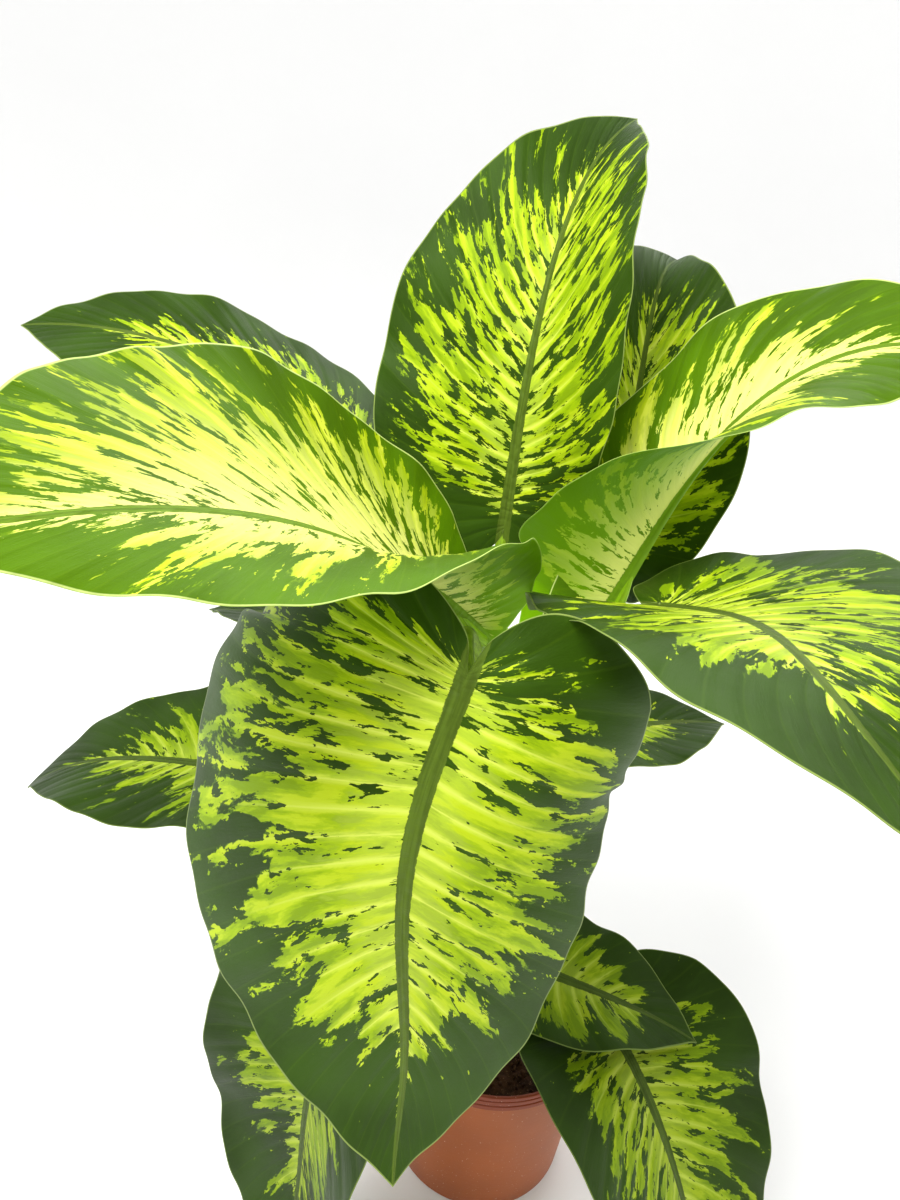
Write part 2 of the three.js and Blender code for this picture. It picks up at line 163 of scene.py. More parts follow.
# Midrib
RIB_DEPTH = 3.4
RIB_HALF_WIDTH = 4.2
RIB_TIP_SHARE = 0.14
RIB_TAPER = 0.9
RIB_RISE = 0.7
RIB_KEEL_SHARE = 0.8
RIB_KEEL_POWER = 1.5
RIB_WIDEST_SHARE = 0.3
RIB_COLUMNS = np.array([0, 0.35, 0.65, 0.85, 1])

# Side veins, the quilted relief between them and the margin's fine ruffle. A vein's place is counted
# partly round the margin and partly along the midrib. The halves are counted far apart, so that
# their markings differ.
VEIN_CURVE = 0.4
VEIN_SPACING = 14
VEINS_BY_MARGIN = 0.5
VEINS_BY_MIDRIB = 0.55
HALVES_APART = 50 * VEIN_SPACING
QUILT = 0.75
QUILT_FULLNESS = 0.7
QUILT_SINK = 0.6
QUILT_FADE = 0.6
QUILT_FROM_RIB = (1, 3)
QUILT_FROM_MARGIN = 25
RUFFLE = 0.9
RUFFLE_LONG = 9
RUFFLE_SHORT = 5.3
RUFFLE_SHORT_SHARE = 0.7
RUFFLE_POWER = 4
RUFFLE_FROM_TIP = 40

# Stalk. Its tail runs on under the midrib, in shares of the blade's length.
STALK_SEAT = 9
STALK_RADIUS = 4
STALK_RINGS = 56
STALK_SIDES = 24
STALK_DIP_START = 0.82
STALK_GROOVE = 0.42
STALK_GROOVE_LEAST = 0.12
STALK_GROOVE_HALF_ANGLE = 0.42
SHEATH_EXTRA = 2.2
SHEATH_HUG = 0.5
SHEATH_HUG_REACH = 0.05
TAIL_RADIUS = 0.5
TAIL_START = 0.01
TAIL_END = 0.12
TAIL_FADE = 0.14
TAIL_RINGS = 7

# One half of the blade laid flat, from the notch at its stalk round the lobe to the tip.
# The first number is along the midrib in blade lengths and the second is in half widths. The
# third is where the side vein that ends there leaves the midrib, in blade lengths.
OUTLINE = np.array([
    (0, 0, 0),
    (-0.05, 0.05, 0),
    (-0.1, 0.24, 0.002),
    (-0.09, 0.54, 0.008),
    (-0.02, 0.8, 0.025),
    (0.1, 0.95, 0.06),
    (0.27, 1, 0.13),
    (0.45, 0.95, 0.23),
    (0.62, 0.79, 0.35),
    (0.77, 0.55, 0.48),
    (0.89, 0.27, 0.64),
    (0.955, 0.1, 0.8),
    (1, 0, 1),
])

# Every leaf: where its stalk leaves the cane, how the stalk rises and how the blade hangs.
# Angles are degrees. half is how wide the blade is to the left and right of its midrib, shoulder
# is the share of that which its foot has. pitch, yaw and twist are at the blade's foot, middle and
# tip, folds are how far each half is raised at the foot and further out, and curl bends the halves
# at foot and tip. wave is the margin's height, its number of waves and where they start.
LEAVES = {
    "front": dict(
        height=350, azimuth=-115, bow=29, stalk=320, rise=(79, 9), length=271, half=(88.5, 116.5),
        pitch=(-52, -95, -71), yaw=(-29, -61, 8), twist=(-19, -47, 14),
        folds=((12, -18), (3, 6)), curl=(-78, -14),
        lobe=1.2, shoulder=(1.17, 1.38), wave=(3, 2.3, 0.1),
    ),
    "left_young": dict(
        height=424, azimuth=-103, bow=2, stalk=107, rise=(61, 34), length=323, half=(88.5, 106),
        pitch=(47, 25, 4), yaw=(-31, -22, -18), twist=(7, -6, -29),
        folds=((26, -9), (18, 15)), curl=(74, -12),
        lobe=1.4, shoulder=(0.2, 0.94), wave=(4, 2.2, 0.3),
    ),
    "upright": dict(
        height=397, azimuth=126, bow=-52, stalk=124, rise=(84, 75), length=292, half=(96, 86),
        pitch=(78, 62, 18), yaw=(2, -4, -22), twist=(12, -4, 30),
        folds=((16, 8), (12, 38)), curl=(10, 0),
        lobe=0.7, shoulder=(0.8, 0.4), wave=(4, 3.2, 0.55),
    ),
    "right_young": dict(
        height=410, azimuth=-5, bow=4, stalk=94, rise=(73, 39), length=282, half=(76, 83),
        pitch=(69, 51, -35), yaw=(0, -5, -20), twist=(-27, 13, 52),
        folds=((104, 5), (86, 9)), curl=(30, -31),
        lobe=2.2, shoulder=(0.57, 0.86), wave=(4, 3.4, 0.2),
    ),
    "right": dict(
        height=373, azimuth=-54, bow=2, stalk=190, rise=(71, 43), length=250, half=(85.5, 92),
        pitch=(22, 12, -32), yaw=(-6, -37, 1), twist=(10, 8, -18),
        folds=((3, 1), (21, 8)), curl=(6, -8),
        lobe=1.7, shoulder=(1.07, 0.98), wave=(4, 2.8, 0.6),
    ),
    "back_left": dict(
        height=361, azimuth=86, bow=110, stalk=230, rise=(84, 34), length=262, half=(76, 76),
        pitch=(30, 12, -12), yaw=(-34, -26, -34), twist=(4, -6, -28),
        folds=((8, -3), (4, 11)), curl=(-5, -3),
        lobe=0.5, shoulder=(1, 0.7), wave=(3, 2.4, 0.8),
    ),
    "back_right": dict(
        height=344, azimuth=50, bow=0, stalk=166, rise=(66, 50), length=245, half=(76, 78),
        pitch=(72, 66, -8), yaw=(16, 30, 10), twist=(4, 22, 0),
        folds=((24, 26), (36, 34)), curl=(8, 5),
        lobe=0.9, shoulder=(0.7, 0.9), wave=(3, 2.6, 0.4),
    ),
    "small_right": dict(
        height=290, azimuth=20, bow=8, stalk=98, rise=(75, 62), length=147, half=(38, 46),
        pitch=(-12, -9, -16), yaw=(0, 2, -6), twist=(8, 10, -3),
        folds=((20, 13), (9, 9)), curl=(-5, 0),
        lobe=0.8, shoulder=(1, 1), wave=(2.5, 2.2, 0.7),
    ),
    "hidden_left": dict(
        height=302, azimuth=-168, bow=-38, stalk=148, rise=(74, 49), length=166, half=(50, 50),
        pitch=(13, -9, -17), yaw=(0, -4, -2), twist=(0, 2, 0),
        folds=((20, 14), (20, 12)), curl=(0, 0),
        lobe=1.2, shoulder=(1, 1), wave=(2.5, 2.5, 0.15),
    ),
    "low_left": dict(
        height=225, azimuth=-178, bow=-4, stalk=182, rise=(58, 18), length=219, half=(68.5, 68.5),
        pitch=(0, -12, -46), yaw=(0, -10, -6), twist=(-5, -9, 0),
        folds=((13, 5), (21, 10)), curl=(-2, -2),
        lobe=1.2, shoulder=(1, 1), wave=(3, 2.5, 0.5),
    ),
    "bottom_left": dict(
        height=175, azimuth=-127, bow=0, stalk=195, rise=(58, 9), length=231, half=(81, 81),
        pitch=(-58, -86, -60), yaw=(0, -3, 5), twist=(0, 8, -5),
        folds=((21, 16), (23, 14)), curl=(5, 4),
        lobe=1.2, shoulder=(1, 1), wave=(3, 2.7, 0.35),
    ),
    "bottom_small": dict(
        height=238, azimuth=-69, bow=2, stalk=55, rise=(17, -7), length=117, half=(48, 46.5),
        pitch=(-1, -9, -23), yaw=(42, 52, 49), twist=(12, 4, -6),
        folds=((15, 9), (1, 9)), curl=(-5, 0),
        lobe=0.7, shoulder=(1.02, 1.07), wave=(2, 2.4, 0.9),
    ),
    "bottom_right": dict(
        height=156, azimuth=-49, bow=2, stalk=115, rise=(56, 12), length=228, half=(85.5, 86),
        pitch=(-6, -56, -45), yaw=(-14, -5, -8), twist=(5, -8, -3),
        folds=((14, 12), (15, 15)), curl=(2, 3),
        lobe=1.2, shoulder=(1.05, 0.98), wave=(3, 2.6, 0.65),
    ),
}

# Colours as a screen shows them. dark is the blade's border, lime its streaks and pale their veins.
TONES = {
    "old": dict(
        dark=(0.14, 0.225, 0.02), middle=(0.37, 0.49, 0.03), lime=(0.57, 0.68, 0.03),
        bright=(0.68, 0.76, 0.1), pale=(0.82, 0.87, 0.36), rib=(0.27, 0.34, 0.09),
        under=(0.46, 0.54, 0.32), edge=(0.5, 0.57, 0.28), stalk=(0.38, 0.48, 0.07),
    ),
    "young": dict(
        dark=(0.25, 0.37, 0.01), middle=(0.48, 0.6, 0.02), lime=(0.68, 0.76, 0.06),
        bright=(0.82, 0.86, 0.26), pale=(0.92, 0.92, 0.52), rib=(0.35, 0.46, 0.1),
        under=(0.5, 0.72, 0.0), edge=(0.74, 0.81, 0.46), stalk=(0.44, 0.58, 0.06),
    ),
    # low is the old look made darker and duller for the leaves that hang low under the others: partly their
    # age, partly painted shade from the leaves above
    "low": dict(
        dark=(0.12, 0.19, 0.03), middle=(0.31, 0.41, 0.03), lime=(0.45, 0.55, 0.04),
        bright=(0.54, 0.62, 0.1), pale=(0.66, 0.72, 0.28), rib=(0.22, 0.28, 0.09),
        under=(0.4, 0.47, 0.28), edge=(0.4, 0.47, 0.22), stalk=(0.36, 0.45, 0.12),
    ),
}
CANE_TONES = dict(
    dark=(0.33, 0.42, 0.16), light=(0.5, 0.56, 0.26), spot=(0.44, 0.4, 0.24),
    scar=(0.48, 0.4, 0.27), low=(0.42, 0.36, 0.24),
)
# rim_painted_shade is painted shade: it darkens the rim band of the pot, which sits in shade
POT_TONES = dict(
    dark=(0.57, 0.29, 0.11), light=(0.63, 0.33, 0.14), scuff=(0.7, 0.44, 0.28),
    rim_painted_shade=(0.48, 0.17, 0.05), dust=(0.86, 0.76, 0.66),
)
SOIL_TONES = dict(
    dark=(0.14, 0.08, 0.04), light=(0.24, 0.15, 0.08),
    crumb=(0.3, 0.21, 0.14), fibre=(0.52, 0.42, 0.3),
)
# The tint of the leaves' gloss, so that white light leaves their darks green
LEAF_GLOSS_TINT = (0.5, 0.6, 0.36, 1)
FLOOR_TONES = ((0.91, 0.91, 0.905, 1), (0.94, 0.94, 0.935, 1))

# How each look's paint is shared out. The pale part spreads from the midrib as far as pale_reach,
# in half widths, and as strongly as pale. under is the underside's share of its own green, at the
# midrib and further out.
SHARES = {
    "old": dict(pale_reach=0.3, pale=0.25, under=(0.6, 0.6)),
    "young": dict(pale_reach=0.95, pale=0.9, under=(0.28, 0.58)),
    "low": dict(pale_reach=0.3, pale=0.25, under=(0.6, 0.6)),
}

# Each leaf's look, how far its lime part reaches to the left and right in half widths, where along
# the margin it starts and ends, where along the midrib it starts, and how flecked it is.
MARKINGS = {
    "front": dict(look="old", left=0.8, right=0.8, foot=0.05, tip=0.95, midrib=-0.2, flecks=0.75),
    "left_young": dict(look="young", left=0.66, right=0.92, foot=0.03, tip=1.1, midrib=-0.2, flecks=1),
    "upright": dict(look="old", left=0.86, right=1, foot=0.05, tip=1, midrib=0.02, flecks=1.3),
    "right_young": dict(look="young", left=0.7, right=0.66, foot=0, tip=0.99, midrib=-0.2, flecks=0.5),
    "right": dict(look="old", left=0.7, right=0.7, foot=0.02, tip=0.97, midrib=-0.2, flecks=0.9),
    "back_left": dict(look="old", left=0.5, right=0.56, foot=0.05, tip=0.93, midrib=0, flecks=1),
    "back_right": dict(look="old", left=0.7, right=0.85, foot=0.08, tip=0.95, midrib=0, flecks=1.2),
    "small_right": dict(look="old", left=0.6, right=0.6, foot=0.05, tip=0.9, midrib=0, flecks=0.8),
    "hidden_left": dict(look="low", left=0.6, right=0.6, foot=0.05, tip=0.9, midrib=0, flecks=0.8),
    "low_left": dict(look="low", left=0.6, right=0.55, foot=0.05, tip=0.93, midrib=0, flecks=0.9),
    "bottom_left": dict(look="low", left=0.55, right=0.5, foot=0.12, tip=0.93, midrib=0.1, flecks=0.8),
    "bottom_small": dict(look="low", left=0.66, right=0.66, foot=0.05, tip=0.95, midrib=0, flecks=0.8),
    "bottom_right": dict(look="low", left=0.66, right=0.66, foot=0.08, tip=0.95, midrib=0, flecks=0.8),
}

# Noise drawn out along the side veins: how wide and long its spots are in millimetres, what it adds
# to the leaf's seed, and its detail.
STREAKS = {
    "broad": (15.0, 60.0, 0, 1.0),
    "ragged": (7.5, 24.0, 3, 3.0),
    "fine": (3.2, 6.0, 7, 5.0),
    "fleck": (6.0, 19.0, 13, 4.0),
    "wash": (7.0, 30.0, 21, 6.0),
    "island": (4.5, 9.0, 31, 3.0),
    "grain": (0.9, 6.0, 0, 3.0),
}
STREAK_SWAY = 10.0
LEAF_SEED_STEP = 3.7


# Small maths

def through(values, s):
    start, middle, end = values
    return start * (1 - s) * (1 - 2 * s) + middle * 4 * s * (1 - s) + end * s * (2 * s - 1)


def heading(azimuth, pitch):
    flat = np.cos(pitch)
    return np.stack([flat * np.cos(azimuth), flat * np.sin(azimuth), np.sin(pitch)], -1)


def smooth_row(points, places):
    padded = np.vstack([2 * points[0] - points[1], points, 2 * points[-1] - points[-2]])
    index = np.minimum(places.astype(int), len(points) - 2)
    f = (places - index)[:, None]
    a, b, c, d = (padded[index + k] for k in range(4))
    square = 2 * a - 5 * b + 4 * c - d
    cube = 3 * b - a - 3 * c + d
    return 0.5 * (2 * b + (c - a) * f + square * f ** 2 + cube * f ** 3)


def fade(x, low, high):
    t = np.clip((x - low) / (high - low), 0, 1)
    return t * t * (3 - 2 * t)


def cane_centre(z):
    return CANE_FOOT + CANE_LEAN * (z - CANE_FOOT[2])


def cane_radius(z):
    share = (z - CANE_BURIED) / (CANE_TOP - CANE_BURIED)
    return CANE_RADIUS_LOW + (CANE_RADIUS_HIGH - CANE_RADIUS_LOW) * share


def rib_share(u):
    return RIB_TIP_SHARE + (1 - RIB_TIP_SHARE) * np.maximum(0, 1 - u) ** RIB_TAPER


# A line of so many millimetres that sets out from start, with its directions at each point
def walk(start, length, azimuth, pitch):
    along = heading(azimuth, pitch)
    steps = (along[1:] + along[:-1]) * length / FINE_STEPS / 2
    point = start + np.vstack([np.zeros(3), np.cumsum(steps, 0)])
    side = np.stack([-np.sin(azimuth), np.cos(azimuth), 0 * azimuth], -1)
    return point, along, side, np.cross(along, side)


# The form of a leaf: a stalk, and a blade on a midrib that bends, turns and twists.
# hand is 1 for the blade's left half and -1 for its right half.

class LeafShape:
    def __init__(self, leaf):
        self.leaf = leaf
        azimuth = math.radians(leaf["azimuth"])
        bow = math.radians(leaf["bow"])
        s = np.linspace(0, 1, FINE_STEPS + 1)
        rise = np.radians(leaf["rise"][0] + (leaf["rise"][1] - leaf["rise"][0]) * s)
        seat = cane_centre(leaf["height"]) + STALK_SEAT * heading(azimuth, 0)
        self.stalk = walk(seat, leaf["stalk"], azimuth + bow * s, rise)
        yaw = azimuth + bow + np.radians(through(leaf["yaw"], s))
        pitch = np.radians(through(leaf["pitch"], s))
        point, along, side, normal = walk(self.stalk[0][-1], leaf["length"], yaw, pitch)
        twist = np.radians(through(leaf["twist"], s))[:, None]
        turned_side = np.cos(twist) * side + np.sin(twist) * normal
        turned_normal = np.cos(twist) * normal - np.sin(twist) * side
        self.midrib = (point, along, turned_side, turned_normal)

    # The midrib's place at u, run on straight behind the stalk for the lobes
    def frame(self, u):
        inside = np.clip(u, 0, 1)
        index = np.minimum((inside * FINE_STEPS).astype(int), FINE_STEPS - 1)
        f = (inside * FINE_STEPS - index)[..., None]
        point, along, side, normal = (row[index] * (1 - f) + row[index + 1] * f for row in self.midrib)
        return point + along * ((u - inside) * self.leaf["length"])[..., None], side, normal

    def half_width(self, hand):
        return self.leaf["half"][0 if hand > 0 else 1]

    def margin_at(self, u, flat_v, hand):
        shoulder = self.leaf["shoulder"][0 if hand > 0 else 1]
        narrow = (1 - shoulder) * np.exp(-np.maximum(u, 0) / SHOULDER_REACH)
        return np.maximum(flat_v, 0) * self.half_width(hand) * (1 - narrow)

    # Across the half blade: how far out and how high a point lies that is v mm from the midrib
    def section(self, u, v, hand):
        leaf = self.leaf
        near, far = leaf["folds"][0 if hand > 0 else 1]
        reach = np.exp(-np.maximum(u - FOLD_START, 0) / FOLD_REACH)
        share = v / self.half_width(hand)
        bend = leaf["curl"][0] + (leaf["curl"][1] - leaf["curl"][0]) * np.clip(u, 0, 1)
        angle = np.radians(far + (near - far) * reach + 0.5 * bend * share)
        height, count, phase = leaf["wave"]
        turn = count * u + phase + (LEFT_WAVE_LEAD if hand > 0 else 0)
        wave = height * share ** 2 * np.sin(2 * math.pi * turn)
        return v * np.cos(angle), v * np.sin(angle) + wave

    # The blade's middle surface and its upward direction there
    def surface(self, u, v, hand):
        point, side, normal = self.frame(u)
        out, high = self.section(u, v, hand)
        next_out, next_high = self.section(u, v + SLOPE_STEP, hand)
        slope = np.where(v > 1e-6, np.arctan2(next_high - high, next_out - out), 0)
        place = point + side * (hand * out)[..., None] + normal * high[..., None]
        up = normal * np.cos(slope)[..., None] - side * (hand * np.sin(slope))[..., None]
        return place, up


# Meshes from grids of points

def add_object(name, data):
    added = bpy.data.objects.new(name, data)
    bpy.context.scene.collection.objects.link(added)
    return added


class MeshParts:
    def __init__(self):
        self.points = []
        self.faces = []
        self.slots = []
        self.marks = {}
        self.count = 0

    # A grid of points, with named marks at each, joined into four-sided faces
    def grid(self, points, slot=0, marks=None, wrap=False):
        rows, columns = points.shape[:2]
        index = np.arange(rows * columns).reshape(rows, columns) + self.count
        if wrap:
            index = np.hstack([index, index[:, :1]])
        quads = np.stack([index[:-1, :-1], index[1:, :-1], index[1:, 1:], index[:-1, 1:]], -1)
        self.points.append(points.reshape(-1, 3))
        self.faces.extend(quads.reshape(-1, 4).tolist())
        self.slots.extend([slot] * (len(quads) * quads.shape[1]))
        for name, values in (marks or {}).items():
            self.marks.setdefault(name, []).append(values.reshape(-1, 3))
        self.count += rows * columns
        return index

    def strip(self, first, second):
        quads = np.stack([first[:-1], first[1:], second[1:], second[:-1]], -1)
        self.faces.extend(quads.tolist())
        self.slots.extend([0] * len(quads))

    # One face on a wrapped ring, whose last point is its first again
    def fan(self, ring, slot=0):
        self.faces.append(ring[:-1].tolist())
        self.slots.append(slot)

    # Flat ends on a wrapped grid
    def close(self, index, slot=0):
        self.fan(index[0], slot)
        self.fan(index[-1], slot)

    def build(self, name, materials, box=None):
        mesh = bpy.data.meshes.new(name)
        points = np.vstack(self.points) * MM
        if box:
            points = np.clip(points, box[0], box[1])
        mesh.from_pydata(points.tolist(), [], self.faces)
        for material in materials:
            mesh.materials.append(material)
        mesh.polygons.foreach_set("material_index", self.slots)
        for key, values in self.marks.items():
            mark = mesh.attributes.new(key, "FLOAT_VECTOR", "POINT")
            mark.data.foreach_set("vector", np.vstack(values).astype(np.float32).ravel())
        clean(mesh)
        return add_object(name, mesh)


def clean(mesh):
    work = bmesh.new()
    work.from_mesh(mesh)
    bmesh.ops.remove_doubles(work, verts=work.verts, dist=MERGE_DISTANCE)
    bmesh.ops.dissolve_degenerate(work, edges=work.edges, dist=MERGE_DISTANCE)
    bmesh.ops.recalc_face_normals(work, faces=work.faces)
    for face in work.faces:
        face.smooth = True
    work.to_mesh(mesh)
    work.free()


# The piece stands for a CAD node and takes its finish from a material slot
def take_place(piece, node):
    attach(piece, "root")
    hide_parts(node)


# Blade

def blade_rows(shape, hand):
    leaf = shape.leaf
    flat = smooth_row(OUTLINE, np.linspace(0, len(OUTLINE) - 1, OUTLINE_SAMPLES))
    rim_u = np.where(flat[:, 0] < 0, flat[:, 0] * leaf["lobe"], flat[:, 0])
    rim_v = shape.margin_at(rim_u, flat[:, 1], hand)
    steps = np.hypot(np.diff(rim_u) * leaf["length"], np.diff(rim_v))
    arc = np.concatenate([[0], np.cumsum(steps)])
    even = np.linspace(0, arc[-1], int(arc[-1] / ROW_STEP) + 1)
    root = np.clip(np.interp(even, arc, flat[:, 2]), 0, 1)
    return np.interp(even, arc, rim_u), np.interp(even, arc, rim_v), root, even


def blade_columns(reach, root):
    rib_edge = np.minimum(RIB_WIDEST_SHARE, RIB_HALF_WIDTH * rib_share(root) / np.maximum(reach, 1))
    rest = np.concatenate([np.linspace(0, MARGIN_START, BLADE_COLUMNS)[1:], [MARGIN_MIDDLE, 1]])
    inner = rib_edge[:, None] * RIB_COLUMNS
    outer = rib_edge[:, None] + (1 - rib_edge[:, None]) * rest
    return np.hstack([inner, outer])


# The blade swells between its side veins, but not at the midrib and the margin
def quilted(across, rib, edge, share):
    swell = np.abs(np.sin(math.pi * across / VEIN_SPACING)) ** QUILT_FULLNESS - QUILT_SINK
    inside = fade(rib, *QUILT_FROM_RIB) * fade(edge, 0, QUILT_FROM_MARGIN)
    return QUILT * swell * inside * (1 - QUILT_FADE * share)


def ruffled(along, to_tip, share, hand, phases):
    long_wave = np.sin(along / RUFFLE_LONG + phases[0] + hand)
    short_wave = np.sin(along / RUFFLE_SHORT + phases[1] - hand)
    ruffle = long_wave + RUFFLE_SHORT_SHARE * short_wave
    return RUFFLE * ruffle * share ** RUFFLE_POWER * fade(to_tip, 0, RUFFLE_FROM_TIP)


# Three marks at each point. weave is how far it lies across the side veins, out along them and in
# from the margin, in millimetres. spot is its share of the way from midrib to margin, its distance
# from the midrib's middle in half widths of the midrib, and 1 on the underside. run is its share of
# the way round the margin, its place along the midrib in blade lengths, and 1 on the left half.
def blade(parts, shape, random):
    leaf = shape.leaf
    phases = random.uniform(0, 2 * math.pi, 2)
    for hand in (1, -1):
        rim_u, rim_v, root, arc = blade_rows(shape, hand)
        reach = np.hypot((rim_u - root) * leaf["length"], rim_v)
        share = blade_columns(reach, root)
        bent = share * (1 - VEIN_CURVE) + share ** 2 * VEIN_CURVE
        u = root[:, None] + (rim_u - root)[:, None] * bent
        v = rim_v[:, None] * share
        middle, up = shape.surface(u, v, hand)
        along = arc[:, None] + 0 * share
        across = VEINS_BY_MARGIN * along + VEINS_BY_MIDRIB * leaf["length"] * root[:, None]
        rib = v / (RIB_HALF_WIDTH * rib_share(u))
        edge = (1 - share) * reach[:, None]

        relief = quilted(across, rib, edge, share)
        relief = relief + ruffled(along, arc[-1] - along, share, hand, phases)
        crown = RIB_RISE * rib_share(u) * np.maximum(0, 1 - rib ** 2) ** 2
        keel = np.maximum(0, 1 - (rib / RIB_KEEL_SHARE) ** 2) ** RIB_KEEL_POWER
        keel = RIB_DEPTH * rib_share(u) * keel
        half_thick = 0.5 * BLADE_THICKNESS * (1 - MARGIN_THINNING * fade(share, MARGIN_START, 1))

        left = (hand > 0) + 0 * share
        weave = np.stack([across + HALVES_APART * left, share * reach[:, None], edge], -1)
        run = np.stack([along / arc[-1], u, left], -1)
        rims = []
        for under, lift in enumerate((relief + half_thick + crown, relief - half_thick - keel)):
            spot = np.stack([share, rib, under + 0 * share], -1)
            marks = {"weave": weave, "spot": spot, "run": run}
            index = parts.grid(middle + up * lift[..., None], 0, marks)
            rims.append(index[:, -1])
        parts.strip(*rims)


# Stalk, with a sheath that clasps the cane and a groove along its upper side. It has the blade's
# marks too, because both are one mesh: weave is the place along and round it, the others are 0.

def stalk(parts, shape):
    point, _, side, normal = shape.stalk
    s = np.linspace(0, 1, STALK_RINGS)
    pick = (s * FINE_STEPS).round().astype(int)
    radius = STALK_RADIUS + SHEATH_EXTRA * (1 - s) ** 2
    dip = (radius - TAIL_RADIUS) * fade(s, STALK_DIP_START, 1)
    tail = np.linspace(TAIL_START, TAIL_END, TAIL_RINGS)
    tail_point, tail_side, tail_normal = shape.frame(tail)
    tail_radius = TAIL_RADIUS + (STALK_RADIUS - TAIL_RADIUS) * (1 - fade(tail, 0, TAIL_FADE))
    tail_dip = tail_radius - TAIL_RADIUS
    across = np.vstack([side[pick], tail_side])
    upward = np.vstack([normal[pick], tail_normal])
    centre = np.vstack([point[pick], tail_point]) - upward * np.concatenate([dip, tail_dip])[:, None]
    radius = np.concatenate([radius, tail_radius])
    s = np.concatenate([s, 1 + tail])

    angle = np.linspace(0, 2 * math.pi, STALK_SIDES, endpoint=False)
    from_top = np.angle(np.exp(1j * (angle - math.pi / 2)))
    top = np.exp(-(from_top / STALK_GROOVE_HALF_ANGLE) ** 2)
    groove = STALK_GROOVE * np.clip(1 - s, STALK_GROOVE_LEAST, 1)[:, None] * top
    hug = 1 + SHEATH_HUG * np.exp(-s / SHEATH_HUG_REACH)[:, None]
    wide = radius[:, None] * (1 - groove)
    points = (
        centre[:, None]
        + across[:, None] * (wide * hug * np.cos(angle))[..., None]
        + upward[:, None] * (wide * np.sin(angle))[..., None]
    )
    around = angle / (2 * math.pi) + 0 * s[:, None]
    length = s[:, None] * shape.leaf["stalk"] + 0 * angle
    weave = np.stack([length, around, s[:, None] + 0 * angle], -1)
    marks = {"weave": weave, "spot": 0 * weave, "run": 0 * weave}
    parts.close(parts.grid(points, 1, marks, wrap=True), 1)


# Material graphs

def linear(colour):
    return tuple(c / 12.92 if c < 0.04045 else ((c + 0.055) / 1.055) ** 2.4 for c in colour) + (1,)


def linear_tones(tones):
    return {key: linear(colour) for key, colour in tones.items()}


def brighter(colour, gain):
    return tuple(gain * c for c in colour[:3]) + (1,)


class Graph:
    def __init__(self, name):
        self.material = bpy.data.materials.new(name)
        self.material.use_nodes = True
        self.tree = self.material.node_tree
        self.shader = self.tree.nodes["Principled BSDF"]

    def node(self, kind, inputs=(), **settings):
        made = self.tree.nodes.new("ShaderNode" + kind)
        for key, value in settings.items():
            setattr(made, key, value)
        for key, value in dict(inputs).items():
            self.feed(made.inputs[key], value)
        return made

    def feed(self, socket, value):
        if isinstance(value, bpy.types.NodeSocket):
            self.tree.links.new(value, socket)
        else:
            socket.default_value = value

    def attribute(self, name):
        found = self.node("Attribute", attribute_name=name)
        split = self.node("SeparateXYZ", {"Vector": found.outputs["Vector"]})
        return [split.outputs[axis] for axis in "XYZ"]

    def math(self, operation, a, b=0.0):
        return self.node("Math", {0: a, 1: b}, operation=operation).outputs[0]

    def add(self, *terms):
        total = terms[0]
        for term in terms[1:]:
            total = self.math("ADD", total, term)
        return total

    def times(self, a, b):
        return self.math("MULTIPLY", a, b)

    # How far x is over or under its middle, times an amount
    def swing(self, x, amount, middle=0.5):
        return self.times(self.math("SUBTRACT", x, middle), amount)

    def step(self, x, low, high, out_low=0.0, out_high=1.0):
        inputs = {"Value": x, "From Min": low, "From Max": high, "To Min": out_low, "To Max": out_high}
        return self.node("MapRange", inputs, interpolation_type="SMOOTHSTEP").outputs["Result"]

    def vector(self, x, y, z=0.0):
        return self.node("CombineXYZ", {"X": x, "Y": y, "Z": z}).outputs[0]

    # A place round a tube, without a seam where a turn ends
    def round_place(self, turn, length):
        return self.vector(self.math("SINE", turn), self.math("COSINE", turn), length)

    def noise(self, place, scale, detail, roughness=0.55, distortion=0.0):
        inputs = {
            "Vector": place, "Scale": scale, "Detail": detail,
            "Roughness": roughness, "Distortion": distortion,
        }
        return self.node("TexNoise", inputs).outputs["Fac"]

    def mix(self, factor, a, b):
        inputs = {"Factor": factor, 6: a, 7: b}
        return self.node("Mix", inputs, data_type="RGBA").outputs[2]

    # Puts a colour over another where a factor passes from low to high, as strongly as share
    def cover(self, under, over, factor, low, high, share=1.0):
        return self.mix(self.step(factor, low, high, 0.0, share), under, over)

    def curve(self, x, points):
        ramp = self.node("ValToRGB", {"Fac": x})
        elements = ramp.color_ramp.elements
        while len(elements) < len(points):
            elements.new(0.5)
        for element, (place, value) in zip(elements, points):
            element.position = place
            element.color = (value, value, value, 1)
        return ramp.outputs["Color"]

    def bump(self, height, strength, distance):
        inputs = {"Height": height, "Strength": strength, "Distance": distance}
        return self.node("Bump", inputs).outputs["Normal"]

    def here(self):
        return self.node("TexCoord").outputs["Object"]

    # specular is one value all over the surface, so it is set on the shader's own socket
    def finish(self, colour, roughness, normal, specular=0.5):
        self.feed(self.shader.inputs["Base Color"], colour)
        self.feed(self.shader.inputs["Roughness"], roughness)
        self.feed(self.shader.inputs["Normal"], normal)
        self.shader.inputs["Specular IOR Level"].default_value = specular
        return self.material


# The paint of one blade, drawn from the marks that blade() gives its points

